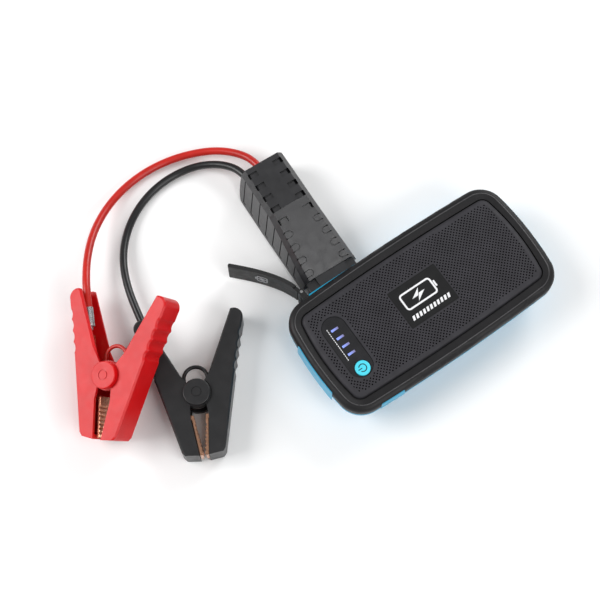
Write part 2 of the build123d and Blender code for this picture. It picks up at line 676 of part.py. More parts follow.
def make_arm(moving):
    """One arm of a clamp in the clamp's frame: the moving one on the right, the fixed on the left."""
    half = CLAMP_THICKNESS / 2
    inner_low, inner_high = half - 2 * CHEEK - HUB_GAP, half - CHEEK - HUB_GAP
    solid = extrude(Pos(0, 0, -half) * (arm_face() - arm_scallops()), CLAMP_THICKNESS)
    bevelled = [e for e in solid.edges() if abs(abs(e.center().Z) - half) < 0.01 and e.center().X > 12.0]
    solid = chamfer(bevelled, 1.0)
    solid -= arm_hollow(open_tip=not moving)
    pin_hole = Circle(PIN_RADIUS + PIN_GAP) if moving else Circle(PIN_RADIUS)
    if moving:
        solid -= extrude(Pos(0, 0, -half - 1) * Circle(HUB_RADIUS + HUB_GAP), CLAMP_THICKNESS + 2)
        web = arm_face() & Circle(13.0)
        solid += both_sides(web - Circle(HUB_RADIUS + HUB_GAP), inner_low, half - CHEEK + 0.01)
        solid += both_sides(Circle(HUB_RADIUS + HUB_GAP + 0.01), inner_low, inner_high)
    else:
        solid += both_sides(Circle(HUB_RADIUS), half - CHEEK, half)
    solid -= extrude(Pos(0, 0, -half - 1) * pin_hole, CLAMP_THICKNESS + 2)
    return solid if moving else mirror(solid, about=Plane.YZ)


def make_jaw(moving):
    """Toothed copper strip along the mouth, with a tail that runs inside the arm."""
    count, first_y, last_y = 8, -17.0, -37.4
    pitch = (first_y - last_y) / count
    bite = [(3.7, -13.0), (3.2, first_y)]
    for index in range(count):
        y = first_y - index * pitch
        x = 3.2 - 3.05 * (index + 0.5) / count
        bite += [(x, y - pitch * 0.45), (x + 0.75, y - pitch * 0.95)]
    back = [(0.9, last_y - 0.5), (2.5, last_y - 0.4), (4.9, -15.6), (12.0, -13.4)]
    strip = make_face(Polyline(*bite, *back, (12.0, -12.2), (3.7, -13.0), close=False))
    jaw = extrude(Pos(0, 0, -JAW_HALF_WIDTH) * strip, 2 * JAW_HALF_WIDTH)
    tail_line = Polyline((11.0, -12.8), (12.6, -12.4), (16.6, 8.0), (20.2, 23.6))
    tail = extrude(Pos(0, 0, -4.0) * trace(tail_line, line_width=JAW_SHEET), 8.0)
    jaw += tail
    return jaw if moving else mirror(jaw, about=Plane.YZ)


def make_pivot_cap():
    half = CLAMP_THICKNESS / 2
    cap = rod((0, 0, half), (0, 0, half + CAP_HEIGHT), CAP_RADIUS)
    cap = fillet(cap.edges().sort_by(Axis.Z)[-1], 0.6)
    groove = rod((0, 0, half + CAP_HEIGHT - 0.4), (0, 0, half + CAP_HEIGHT + 1), 3.2)
    groove -= rod((0, 0, half), (0, 0, half + CAP_HEIGHT + 1), 2.6)
    return cap - groove


def make_pivot_pin():
    half = CLAMP_THICKNESS / 2
    return rod((0, 0, 0.2 - half), (0, 0, half), PIN_RADIUS)


def make_spring():
    """Torsion spring coiled round the pin between the inner ears."""
    wire, turns, pitch = 1.4, 4.5, 1.6
    line = Pos(0, 0, -turns * pitch / 2) * Helix(pitch, turns * pitch, 4.4)
    section = Plane(origin=line @ 0, z_dir=line % 0) * Circle(wire / 2)
    return sweep(section, path=line, is_frenet=True)


def make_bridge_wire():
    """Insulated link that arches over the pivot between the two jaws' tails."""
    r, y = BRIDGE_RADIUS, BRIDGE_CENTRE_Y
    right = FilletPolyline((13.2, -2.0), (r, 1.2), (r, y), radius=2.0)
    arch = ThreePointArc((r, y), (0, y + r), (-r, y))
    left = FilletPolyline((-r, y), (-r, 1.2), (-13.2, -2.0), radius=2.0)
    path = (Curve() + [right, arch, left]).wire()
    section = Plane(origin=path @ 0, z_dir=path % 0) * Circle(BRIDGE_DIAMETER / 2)
    return sweep(section, path=path)


def make_crimp():
    """Ferrule that joins the cable to the fixed jaw's tail, in the fixed handle's channel."""
    start, end = CRIMP_LINE
    ferrule = rod(start, end, 2.9)
    lug = Vector(*end) + (Vector(*end) - Vector(*start)).normalized() * 2.0
    return ferrule + rod(end, (lug.X, lug.Y, lug.Z), 1.6)


CLAMP_PIECES = {
    "fixed_arm": lambda: make_arm(moving=False),
    "moving_arm": lambda: make_arm(moving=True),
    "fixed_jaw": lambda: make_jaw(moving=False),
    "moving_jaw": lambda: make_jaw(moving=True),
    "pivot_pin": make_pivot_pin,
    "pivot_cap": make_pivot_cap,
    "spring": make_spring,
    "bridge_wire": make_bridge_wire,
    "cable_crimp": make_crimp,
}


# ------------------------------------------------------------------ all the pieces

def build_parts():
    """Every node's name and shape."""
    module_body, module_lid = make_module_pieces()
    parts = {
        "bottom_shell": make_bottom_shell(),
        "top_cover": make_top_cover(),
        "perforated_pad": make_perforated_pad(),
        "label_plate": make_label_plate(),
        "indicator_panel": make_indicator_panel(),
        "led_windows": led_bars(COVER_INNER_Z + 0.2, PANEL_TOP_Z + 0.05, -0.02),
        "power_button": make_power_button(),
        "button_switch": make_button_switch(),
        "status_leds": status_leds(),
        "main_board": make_main_board(),
        "board_components": board_components(),
        "usb_board": make_usb_board(),
        "usb_output_port": usb_port(*USB_OUT),
        "usb_input_port": usb_port(*USB_IN),
        "ec5_socket": make_ec5_socket(),
        "socket_pins": socket_pins(),
        "positive_lead": battery_lead(contact_xs()[0]),
        "negative_lead": battery_lead(contact_xs()[1]),
        "cell_foam": cell_foam(),
        "cell_tabs": cell_tabs(),
        "case_screws": case_screws(),
        "torch_lens": make_torch_lens(),
        "torch_led": make_torch_led(),
        "port_cover": make_port_cover(),
        "cover_pin": make_cover_pin(),
        "cover_anchor": make_cover_anchor(),
        "module_body": module_body - screw_recesses(),
        "module_lid": module_lid,
        "ec5_plug": make_ec5_plug(),
        "plug_sleeves": plug_sleeves(),
        "module_board": make_module_board(),
        "module_components": module_components(),
        "module_relay": make_module_relay(),
        "module_screws": module_screws(),
    }
    for index in range(CELL_COUNT):
        parts[f"battery_cell_{index + 1}"] = battery_cell(index)
    for name, route in ROUTES.items():
        parts[f"{name}_grommet"] = make_grommet(name)
        radii = arc_radii(route)
        tube, length = tube_along(route, radii, CABLE_DIAMETER)
        parts[f"{name}_cable"] = tube
        print(name, "cable", round(length, 1), "mm, radii", [round(r, 1) for r in radii])
        for piece, make in CLAMP_PIECES.items():
            parts[f"{name}_{piece}"] = CLAMP_POSES[name] * make()
    return parts


def as_one(shape):
    """A single shape from one solid or a list of separate solids."""
    return Compound(children=list(shape)) if isinstance(shape, (list, ShapeList)) else shape


if __name__ == "__main__":
    os.makedirs("parts", exist_ok=True)
    for name, shape in build_parts().items():
        export_step(as_one(shape), f"parts/{name}.step")
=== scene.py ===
"""Looks of the car jump starter pack, its smart lead, battery clamps and port cover.

The scene is in metres. Outlines, routes and profiles are given in mm and scaled when they become meshes.
"""
import json
from math import atan2, cos, pi, radians, sin, sqrt

import bmesh
import bpy
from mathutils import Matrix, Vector
from mathutils.geometry import delaunay_2d_cdt


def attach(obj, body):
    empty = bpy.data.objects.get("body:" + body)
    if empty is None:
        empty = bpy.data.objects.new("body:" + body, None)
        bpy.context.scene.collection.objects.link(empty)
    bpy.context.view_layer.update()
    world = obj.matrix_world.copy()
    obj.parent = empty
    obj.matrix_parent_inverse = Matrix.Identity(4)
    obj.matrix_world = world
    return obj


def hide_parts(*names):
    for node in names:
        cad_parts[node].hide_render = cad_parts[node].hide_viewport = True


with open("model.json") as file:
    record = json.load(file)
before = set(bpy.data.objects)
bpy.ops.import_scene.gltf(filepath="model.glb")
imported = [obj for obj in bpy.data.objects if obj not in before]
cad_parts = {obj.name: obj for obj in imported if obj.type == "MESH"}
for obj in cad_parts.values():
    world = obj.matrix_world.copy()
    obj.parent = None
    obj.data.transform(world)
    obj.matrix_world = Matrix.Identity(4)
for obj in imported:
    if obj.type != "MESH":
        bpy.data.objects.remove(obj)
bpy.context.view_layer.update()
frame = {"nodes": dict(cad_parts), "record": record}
nodes = frame["nodes"]

MM = 0.001

# ---- camera: where it aims on the floor and its distance in metres, its direction in degrees, its lens
CAMERA_AIM = (-0.05717, 0.04908, 0.0)
CAMERA_AZIMUTH = -34.62
CAMERA_ELEVATION = 72.1
CAMERA_DISTANCE = 0.8251
CAMERA_LENS = 78.0

# ---- light: an even white surround, and soft boxes as name, place and size in metres, power in watts
WORLD_LEVEL = 0.34
LIGHT_AIM = (-0.06, 0.05, 0.0)
LIGHTS = (
    ("left_softbox", (-1.3, 0.9, 1.2), (1.2, 1.2), 26.0),
    ("front_softbox", (0.3, -1.5, 1.3), (1.4, 0.7), 15.0),
    ("right_softbox", (1.5, 0.6, 1.0), (0.9, 0.9), 15.0),
    ("top_softbox", (0.22, -0.42, 1.9), (0.5, 0.4), 3.2),
)

# ---- cables: points of each centre line in mm, from the module to the clamp, and its length in metres
CABLE_DIAMETER = 5.0
RED_ROUTE = [
    (-29.6, 132.6, 12.0), (-30.1, 141.2, 11.8), (-34.8, 151.4, 10.0), (-44.0, 161.8, 7.6),
    (-56.6, 169.8, 5.2), (-72.0, 175.6, 3.5), (-88.6, 178.0, 2.9), (-105.0, 176.6, 3.6),
    (-120.2, 171.8, 5.8), (-133.4, 164.2, 9.4), (-145.0, 154.4, 13.8), (-155.2, 142.0, 18.3),
    (-162.9, 129.6, 22.0), (-167.9, 120.0, 22.5), (-171.2, 113.3, 21.6),
]
BLACK_ROUTE = [
    (-40.6, 132.6, 12.0), (-41.3, 140.0, 11.6), (-45.6, 148.6, 9.8), (-53.0, 156.4, 7.2),
    (-62.8, 162.2, 4.7), (-74.8, 165.2, 3.1), (-88.0, 165.2, 2.8), (-101.0, 162.2, 2.8),
    (-113.0, 156.6, 3.0), (-123.6, 148.6, 3.9), (-132.4, 138.6, 5.6), (-139.0, 127.0, 7.6),
    (-143.8, 113.6, 9.1), (-146.8, 99.8, 9.6), (-148.8, 88.0, 9.6), (-150.4, 78.1, 9.5),
]
CABLES = {"red": (RED_ROUTE, 0.196), "black": (BLACK_ROUTE, 0.182)}

# ---- plans of the pack and its pad, in mm: size, how far the sides bow outward, corner radius
PACK_PLAN = ((162.0, 83.6), (3.9, 2.2), 16.5)
PAD_PLAN = ((147.4, 66.6), (3.4, 1.6), 6.5)
RIM_BEAD_INSET = 3.9
RIM_BEAD_RADIUS = 0.38
RIM_BEAD_Z = 31.2
RIM_BEAD_SIDES = 8
SIDE_STEPS = 24
CORNER_STEPS = 10

# ---- pad, in mm
PAD_GAP = 0.8            # from the plan's edge to the pad
PAD_TOP_Z = 32.5
PAD_FLOOR_Z = 29.1
PAD_SHOULDER = 3.1       # width of the soft slope round the pad
PAD_PROFILE = (          # inset and height of the pad's edge, from its foot to its level top
    (0.0, PAD_FLOOR_Z), (0.0, 30.7), (0.25, 31.3), (0.8, 31.85), (1.6, 32.2), (2.4, 32.4),
    (PAD_SHOULDER, PAD_TOP_Z),
)
LABEL_RECESS = 0.5       # height of the wall round the label's opening
ROUND_END_FLAT = 0.01    # leaves the two rounds of the panel's end a hair apart
TRIANGLES_INSIDE = 1     # the triangulation keeps only what lies inside its outlines
MERGE_DISTANCE = 1e-6

# ---- perforations, in mm: round holes on a staggered square lattice
HOLE_PITCH = 2.506
HOLE_RADIUS = 0.5
HOLE_DEPTH = 0.8
HOLE_TAPER = 0.92        # the bottom's radius as a share of the mouth's
HOLE_SIDES = 8
HOLE_COLUMNS = range(-30, 31)
HOLE_ROWS = range(-14, 15)
SHOULDER_MARGIN = 0.3    # least distance from the shoulder, the panel and the label to a hole's centre
PANEL_MARGIN = 1.5
LABEL_MARGIN = 1.0
PANEL_ZONE_CORNER = 9.4
LABEL_ZONE_CORNER = 1.4

# ---- controls, in mm
PANEL_X = -56.5
PANEL_SIZE = (16.0, 43.0)
BUTTON_Y = -16.0
BUTTON_TOP_Z = 32.9
LED_YS = (13.2, 7.3, 1.4, -4.5)
LED_SPAN = (-2.5, 2.7)   # run of the status bars' colour, from the panel's middle
LABEL_SIZE = (35.4, 27.0)
LABEL_CORNER = 1.0
LABEL_TOP_Z = 32.6

# ---- prints, in mm
PRINT_THICKNESS = 0.06
STRIPE_COUNT = 11
STRIPE_START_X = -14.0
STRIPE_PITCH = 2.6
STRIPE_WIDTH = 1.6
STRIPE_LEAN = 0.9
STRIPE_YS = (-9.8, -6.9)
TICKS_PER_BAR = 4
TICKS_X = -60.7
TICKS_Z = 32.1
FIRST_TICK = 2.4         # from a status bar's middle to its first tick's end
TICK_PITCH = 1.42
TICK_LENGTH = 1.05
TICK_WIDTH = 0.42
POWER_RADIUS = 2.35
POWER_WIDTH = 0.62
POWER_ARC = (215, 505)   # degrees
POWER_BAR = (-3.1, -0.5)
COVER_LINE = ((-66.2, 65.2, 0.0), (-75.0, 76.3, 0.0))     # two points of the port cover's middle line
COVER_HALF_THICKNESS = 1.2
COVER_MARK_Z = 13.6
COVER_MARK_LIFTS = (-0.1, 0.14)

# ---- battery symbol, as shares of its half height, and of its stroke for the terminal's gap
FRAME_CORNER = 0.35
TERMINAL_GAP = 1.3
TERMINAL_REACH = 0.4
HALF_BOLT = ((0.42, 0.72), (-0.95, -0.12), (-0.12, -0.12))

# ---- softened edges: lengths in metres, angles in degrees
WELD_DISTANCE = 0.000002
FLAT_ANGLE = 0.6
SHARP_ANGLE = 32.0

# ---- material noise: the part of its range that is used, and its scales in cells per metre
NOISE_LOW = 0.3
NOISE_HIGH = 0.7
DRIFT_SCALE = 90.0
SHEEN_SCALE = 240.0
SHEEN_SPREAD = 0.12


# ------------------------------------------------------------------ materials

def new_material(name, colour, roughness, metallic=0.0, **sockets):
    """A principled material, its shader and its node tree."""
    material = bpy.data.materials.new(name)
    material.use_nodes = True
    tree = material.node_tree
    shader = tree.nodes["Principled BSDF"]
    shader.inputs["Base Color"].default_value = (*colour, 1.0)
    shader.inputs["Roughness"].default_value = roughness
    shader.inputs["Metallic"].default_value = metallic
    for socket, value in sockets.items():
        shader.inputs[socket.replace("_", " ")].default_value = value
    return material, shader, tree


def noise(tree, scale, detail=3.0, stretch=(1.0, 1.0, 1.0)):
    """Noise in the object's own space, scale in cells per metre."""
    place = tree.nodes.new("ShaderNodeTexCoord")
    mapping = tree.nodes.new("ShaderNodeMapping")
    mapping.inputs["Scale"].default_value = stretch
    texture = tree.nodes.new("ShaderNodeTexNoise")
    texture.inputs["Scale"].default_value = scale
    texture.inputs["Detail"].default_value = detail
    tree.links.new(place.outputs["Object"], mapping.inputs["Vector"])
    tree.links.new(mapping.outputs["Vector"], texture.inputs["Vector"])
    return texture.outputs["Fac"]


def spread(tree, value, low, high):
    """Noise stretched over a range, for a roughness or a mix."""
    node = tree.nodes.new("ShaderNodeMapRange")
    node.inputs["From Min"].default_value = NOISE_LOW
    node.inputs["From Max"].default_value = NOISE_HIGH
    node.inputs["To Min"].default_value = low
    node.inputs["To Max"].default_value = high
    tree.links.new(value, node.inputs["Value"])
    return node.outputs["Result"]


def tint(tree, shader, value, first, second):
    """Base colour that drifts between two colours."""
    ramp = tree.nodes.new("ShaderNodeValToRGB")
    ramp.color_ramp.elements[0].position = NOISE_LOW
    ramp.color_ramp.elements[0].color = (*first, 1.0)
    ramp.color_ramp.elements[1].position = NOISE_HIGH
    ramp.color_ramp.elements[1].color = (*second, 1.0)
    tree.links.new(value, ramp.inputs["Fac"])
    tree.links.new(ramp.outputs["Color"], shader.inputs["Base Color"])


def bump(tree, shader, height, depth):
    """Surface relief of a given depth in metres."""
    node = tree.nodes.new("ShaderNodeBump")
    node.inputs["Strength"].default_value = 1.0
    node.inputs["Distance"].default_value = depth
    tree.links.new(height, node.inputs["Height"])
    tree.links.new(node.outputs["Normal"], shader.inputs["Normal"])


def moulded(name, colour, roughness, grain=1600.0, depth=0.00004, drift=0.16, **sockets):
    """Moulded plastic or rubber: fine spark-eroded grain, slight colour drift and handling sheen."""
    material, shader, tree = new_material(name, colour, roughness, **sockets)
    darker = tuple(c * (1 - drift) for c in colour)
    lighter = tuple(min(1.0, c * (1 + drift)) for c in colour)
    tint(tree, shader, noise(tree, DRIFT_SCALE), darker, lighter)
    smoother = roughness * (1 - SHEEN_SPREAD)
    rougher = min(1.0, roughness * (1 + SHEEN_SPREAD))
    sheen = spread(tree, noise(tree, SHEEN_SCALE), smoother, rougher)
    tree.links.new(sheen, shader.inputs["Roughness"])
    bump(tree, shader, noise(tree, grain, detail=2.0), depth)
    return material


def metal(name, colour, roughness, stretch=(1.0, 1.0, 1.0), drift=0.25):
    """Plated or bare metal with fine drawn lines and patches of tarnish."""
    material, shader, tree = new_material(name, colour, roughness, metallic=1.0)
    darker = tuple(c * (1 - drift) for c in colour)
    tint(tree, shader, noise(tree, scale=500.0, detail=5.0), darker, colour)
    lines = noise(tree, scale=900.0, detail=2.0, stretch=stretch)
    wear = spread(tree, lines, low=roughness * 0.7, high=roughness * 1.4)
    tree.links.new(wear, shader.inputs["Roughness"])
    bump(tree, shader, noise(tree, scale=1500.0, detail=2.0, stretch=stretch), depth=0.00002)
    return material


def glowing(name, near, far, strength):
    """Status bars: brighter and bluer at one end than at the other."""
    material, shader, tree = new_material(name, near, roughness=0.4)
    place = tree.nodes.new("ShaderNodeTexCoord")
    parts = tree.nodes.new("ShaderNodeSeparateXYZ")
    span = tree.nodes.new("ShaderNodeMapRange")
    span.inputs["From Min"].default_value = (PANEL_X + LED_SPAN[0]) * MM
    span.inputs["From Max"].default_value = (PANEL_X + LED_SPAN[1]) * MM
    ramp = tree.nodes.new("ShaderNodeValToRGB")
    ramp.color_ramp.elements[0].color = (*near, 1.0)
    ramp.color_ramp.elements[1].color = (*far, 1.0)
    tree.links.new(place.outputs["Object"], parts.inputs["Vector"])
    tree.links.new(parts.outputs["X"], span.inputs["Value"])
    tree.links.new(span.outputs["Result"], ramp.inputs["Fac"])
    tree.links.new(ramp.outputs["Color"], shader.inputs["Base Color"])
    tree.links.new(ramp.outputs["Color"], shader.inputs["Emission Color"])
    shader.inputs["Emission Strength"].default_value = strength
    return material


def circuit_board(name):
    """Green solder mask with faint tracks."""
    material, shader, tree = new_material(name, (0.01, 0.10, 0.04), roughness=0.35)
    tracks = {"scale": 700.0, "detail": 1.0, "stretch": (1.0, 0.15, 1.0)}
    tint(tree, shader, noise(tree, **tracks), (0.006, 0.07, 0.03), (0.02, 0.16, 0.07))
    bump(tree, shader, noise(tree, **tracks), depth=0.00003)
    return material


def make_materials():
    """One material for each slot of the record, and those of the bead's painted highlight, the holes' painted
    shade and the prints.
    """
    matte = {"Specular_IOR_Level": 0.3}
    return {
        "blue_plastic": moulded("blue_plastic", (0.004, 0.34, 0.56), 0.32, drift=0.06),
        "rim_plastic": moulded(
            "rim_plastic", (0.0085, 0.0082, 0.0092), 0.48, grain=2200.0, depth=0.00005, **matte,
        ),
        # lighter than the rim's own plastic: a painted highlight along the rim's crest
        "bead_painted_highlight": moulded("bead_painted_highlight", (0.050, 0.049, 0.052), 0.30, grain=2200.0, depth=0.00002),
        "pad_rubber": moulded(
            "pad_rubber", (0.0285, 0.0275, 0.0325), 0.6, grain=2600.0, depth=0.00005, **matte,
        ),
        # the pad's own rubber painted near black: painted shade inside the holes
        "hole_painted_shade": moulded("hole_painted_shade", (0.0015, 0.0015, 0.0015), 0.9, Specular_IOR_Level=0.05),
        "label_film": moulded("label_film", (0.0055, 0.0055, 0.0062), 0.5, depth=0.00001, **matte),
        "panel_gloss": moulded("panel_gloss", (0.0145, 0.0145, 0.0165), 0.42, depth=0.00001, **matte),
        "led_diffuser": glowing("led_diffuser", (0.24, 0.34, 0.95), (0.16, 0.14, 0.24), 0.3),
        "button_cyan": moulded("button_cyan", (0.07, 0.66, 0.82), 0.4, depth=0.00002, drift=0.05),
        "print_white": moulded("print_white", (0.80, 0.80, 0.82), 0.5, depth=0.00001, drift=0.04),
        "print_grey": moulded("print_grey", (0.34, 0.34, 0.35), 0.6, depth=0.00001, drift=0.2),
        "print_dark": moulded("print_dark", (0.004, 0.035, 0.05), 0.5, depth=0.00001),
        "steel": metal("steel", (0.62, 0.62, 0.63), 0.28, (1.0, 8.0, 1.0)),
        "brass_contact": metal("brass_contact", (0.80, 0.58, 0.26), 0.25),
        "copper": metal("copper", (0.86, 0.47, 0.30), 0.24, (6.0, 1.0, 1.0)),
        "circuit_board": circuit_board("circuit_board"),
        "chip_black": moulded("chip_black", (0.012, 0.012, 0.013), 0.5),
        "socket_blue": moulded("socket_blue", (0.01, 0.05, 0.35), 0.4),
        "cable_red": moulded("cable_red", (0.52, 0.014, 0.008), 0.32, grain=900.0, drift=0.1),
        "cable_black": moulded("cable_black", (0.009, 0.009, 0.010), 0.32, grain=900.0),
        "foam": moulded("foam", (0.05, 0.05, 0.055), 0.95, grain=1200.0, depth=0.0003),
        "clear_lens": moulded("clear_lens", (0.75, 0.78, 0.80), 0.08, depth=0.00001, drift=0.02),
        "rubber_black": moulded("rubber_black", (0.016, 0.016, 0.0165), 0.55, grain=1800.0, **matte),
        "module_plastic": moulded(
            "module_plastic", (0.0130, 0.0130, 0.0150), 0.34, grain=2400.0, depth=0.000008,
            Specular_IOR_Level=0.9,
        ),
        "cell_pouch": metal("cell_pouch", (0.70, 0.71, 0.73), 0.4, drift=0.1),
        "clamp_red": moulded(
            "clamp_red", (0.62, 0.004, 0.006), 0.36, grain=1800.0, drift=0.06, Specular_IOR_Level=0.34,
        ),
        "clamp_black": moulded("clamp_black", (0.0115, 0.0115, 0.0125), 0.38, grain=1800.0),
    }


materials = make_materials()


# ------------------------------------------------------------------ mesh helpers

def add_object(name, data, body, slot, material=None):
    """Link a new piece, give it its material, and ride it on a body."""
    piece = bpy.data.objects.new(name, data)
    bpy.context.scene.collection.objects.link(piece)
    piece.data.materials.append(materials[material or slot])
    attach(piece, body)
    return piece


def in_metres(points):
    return [Vector(point) * MM for point in points]


def mesh_from(name, points, faces, smooth=True):
    """A mesh from points in mm and faces."""
    mesh = bpy.data.meshes.new(name)
    mesh.from_pydata(in_metres(points), [], faces)
    bm = bmesh.new()
    bm.from_mesh(mesh)
    bmesh.ops.recalc_face_normals(bm, faces=bm.faces)
    bm.to_mesh(mesh)
    bm.free()
    for polygon in mesh.polygons:
        polygon.use_smooth = smooth
    return mesh


def bowed_outline(plan, inset, z):
    """Closed outline with bowed sides and round corners, all offsets of it having as many points."""
    size, (bow_x, bow_y), corner = plan
    half_x, half_y = size[0] / 2, size[1] / 2
    radius_x = ((half_y - bow_y) ** 2 + bow_x ** 2) / (2 * bow_x)      # the short sides' arcs
    radius_y = ((half_x - bow_x) ** 2 + bow_y ** 2) / (2 * bow_y)      # the long sides' arcs
    centre_x, centre_y = half_x - radius_x, half_y - radius_y
    # the corner's centre lies a corner radius inside both arcs
    reach_x, reach_y = radius_x - corner, radius_y - corner
    apart = sqrt(centre_x ** 2 + centre_y ** 2)
    along = (reach_x ** 2 - reach_y ** 2 + apart ** 2) / (2 * apart)
    across = sqrt(reach_x ** 2 - along ** 2)
    unit = Vector((-centre_x, centre_y)) / apart
    corner_centre = Vector((centre_x, 0)) + unit * along - Vector((unit.y, -unit.x)) * across
    end_angle = atan2(corner_centre.y, corner_centre.x - centre_x)
    side_angle = atan2(corner_centre.y - centre_y, corner_centre.x)
    quarter = []
    for i in range(SIDE_STEPS // 2):
        angle = end_angle * i / (SIDE_STEPS // 2)
        quarter.append((centre_x + (radius_x - inset) * cos(angle), (radius_x - inset) * sin(angle)))
    for i in range(CORNER_STEPS + 1):
        angle = end_angle + (side_angle - end_angle) * i / CORNER_STEPS
        reach = corner - inset
        quarter.append((corner_centre.x + reach * cos(angle), corner_centre.y + reach * sin(angle)))
    for i in range(1, SIDE_STEPS):
        angle = side_angle + (pi / 2 - side_angle) * i / SIDE_STEPS
        quarter.append(((radius_y - inset) * cos(angle), centre_y + (radius_y - inset) * sin(angle)))
    outline = quarter + [(0.0, half_y - inset)]
    outline += [(-x, y) for x, y in reversed(quarter)]
    outline += [(-x, -y) for x, y in quarter[1:]]
    outline.append((0.0, inset - half_y))
    outline += [(x, -y) for x, y in reversed(quarter[1:])]
    return [(x, y, z) for x, y in outline]


def skinned(loops, close_last=False):
    """Points and faces of a skin over loops that have as many points each."""
    count = len(loops[0])
    points = [point for loop in loops for point in loop]
    faces = []
    for row in range(len(loops) - 1):
        low, high = row * count, (row + 1) * count
        for i in range(count):
            j = (i + 1) % count
            faces.append((low + i, low + j, high + j, high + i))
    if close_last:
        faces.append(tuple(range((len(loops) - 1) * count, len(loops) * count)))
    return points, faces


def rounded_box_outline(centre, size, corner, steps=6):
    """Plan of a rectangle with round corners."""
    half_x, half_y = size[0] / 2 - corner, size[1] / 2 - corner
    outline = []
    for quarter, (sx, sy) in enumerate(((1, 1), (-1, 1), (-1, -1), (1, -1))):
        x, y = centre[0] + sx * half_x, centre[1] + sy * half_y
        for i in range(steps + 1):
            angle = pi / 2 * (quarter + i / steps)
            outline.append((x + corner * cos(angle), y + corner * sin(angle)))
    return outline


def frame_outlines(centre, size, corner, width):
    """Four strokes and four round corners that draw a rectangle's border."""
    x, y = centre
    half_x, half_y = size[0] / 2, size[1] / 2
    left, right = x - half_x + corner, x + half_x - corner
    bottom, top = y - half_y + corner, y + half_y - corner
    strokes = [bar_outline((left, y + side * half_y), (right, y + side * half_y), width) for side in (-1, 1)]
    strokes += [bar_outline((x + side * half_x, bottom), (x + side * half_x, top), width) for side in (-1, 1)]
    for sx, sy, start in ((1, 1, 0), (-1, 1, 90), (-1, -1, 180), (1, -1, 270)):
        place = (x + sx * (half_x - corner), y + sy * (half_y - corner))
        strokes.append(arc_outline(place, corner, width, start, start + 90, steps=8))
    return strokes


def is_inside(point, outline):
    """True if a point lies inside a closed outline."""
    x, y = point
    inside = False
    for (x1, y1, *_), (x2, y2, *_) in zip(outline, outline[1:] + outline[:1]):
        if (y1 > y) != (y2 > y) and x < x1 + (y - y1) * (x2 - x1) / (y2 - y1):
            inside = not inside
    return inside


def printed(name, outlines, z, body, slot, material):
    """A thin printed mark: flat outlines in mm that stand just proud of a level surface."""
    points, faces = [], []
    for outline in outlines:
        start, count = len(points), len(outline)
        points += [(x, y, z - PRINT_THICKNESS / 2) for x, y in outline]
        points += [(x, y, z + PRINT_THICKNESS / 2) for x, y in outline]
        faces.append(tuple(range(start + count, start + 2 * count)))
        faces.append(tuple(reversed(range(start, start + count))))
        for i in range(count):
            j = (i + 1) % count
            faces.append((start + i, start + j, start + count + j, start + count + i))
    return add_object(name, mesh_from(name, points, faces, smooth=False), body, slot, material)


def bar_outline(start, end, width):
    """A straight stroke of some width between two points."""
    a, b = Vector(start), Vector(end)
    side = (b - a).normalized().orthogonal() * width / 2
    return [tuple(a + side), tuple(a - side), tuple(b - side), tuple(b + side)]


def arc_outline(centre, radius, width, start, end, steps=28):
    """A curved stroke, angles in degrees."""
    angles = [radians(start + (end - start) * i / steps) for i in range(steps + 1)]
    x, y = centre
    outer, inner = radius + width / 2, radius - width / 2
    outline = [(x + outer * cos(angle), y + outer * sin(angle)) for angle in angles]
    outline += [(x + inner * cos(angle), y + inner * sin(angle)) for angle in reversed(angles)]
    return outline


def soften(piece, width):
    """Small rounds, their width in mm, on a CAD node's sharp edges, as moulded parts have."""
    weld = piece.modifiers.new("weld", "WELD")
    weld.merge_threshold = WELD_DISTANCE
    dissolve = piece.modifiers.new("flats", "DECIMATE")
    dissolve.decimate_type = "DISSOLVE"
    dissolve.angle_limit = radians(FLAT_ANGLE)
    bevel = piece.modifiers.new("rounds", "BEVEL")
    bevel.width = width * MM
    bevel.segments = 2
    bevel.limit_method = "ANGLE"
    bevel.angle_limit = radians(SHARP_ANGLE)
    bevel.use_clamp_overlap = True
    level = piece.modifiers.new("level faces", "WEIGHTED_NORMAL")
    level.weight = 100
    for polygon in piece.data.polygons:
        polygon.use_smooth = True


# ------------------------------------------------------------------ CAD nodes: materials and edges

def dress_nodes():
    """Every CAD node takes the procedural material of its own slot."""
    slot_of = {part["node"]: part["material_slot"] for part in frame["record"]["subparts"]}
    for name, node in nodes.items():
        node.data.materials.clear()
        node.data.materials.append(materials[slot_of[name]])


def facet(piece):
    """Exact face normals, for a part whose flats meet at shallow angles."""
    given = piece.data.attributes.get("custom_normal")
    if given:
        piece.data.attributes.remove(given)
    for polygon in piece.data.polygons:
        polygon.use_smooth = False


def finish_edges():
    """Rounds on the edges that the eye meets, sized by the part, and crisp flats on the module."""
    for colour in ("red", "black"):
        for name in ("fixed_arm", "moving_arm"):
            soften(nodes[f"{colour}_{name}"], width=0.55)
        soften(nodes[f"{colour}_cable_crimp"], width=0.15)
    facet(nodes["module_lid"])
    facet(nodes["module_body"])
    soften(nodes["port_cover"], width=0.4)
    soften(nodes["bottom_shell"], width=0.3)


# ------------------------------------------------------------------ pad, rim bead and prints

def hole_centres():
    """Lattice points on the pad that stay clear of its shoulder, the panel and the label."""
    border = bowed_outline(PAD_PLAN, PAD_GAP + PAD_SHOULDER + SHOULDER_MARGIN, 0.0)
    panel_zone = [side + 2 * PANEL_MARGIN for side in PANEL_SIZE]
    label_zone = [side + 2 * LABEL_MARGIN for side in LABEL_SIZE]
    panel = rounded_box_outline((PANEL_X, 0.0), panel_zone, PANEL_ZONE_CORNER)
    label = rounded_box_outline((0.0, 0.0), label_zone, LABEL_ZONE_CORNER)
    centres = []
    for shift in (0.0, 0.5):
        for column in HOLE_COLUMNS:
            for row in HOLE_ROWS:
                centre = ((column + shift) * HOLE_PITCH, (row + shift) * HOLE_PITCH)
                on_pad = is_inside(centre, border)
                if on_pad and not is_inside(centre, panel) and not is_inside(centre, label):
                    centres.append(centre)
    return centres


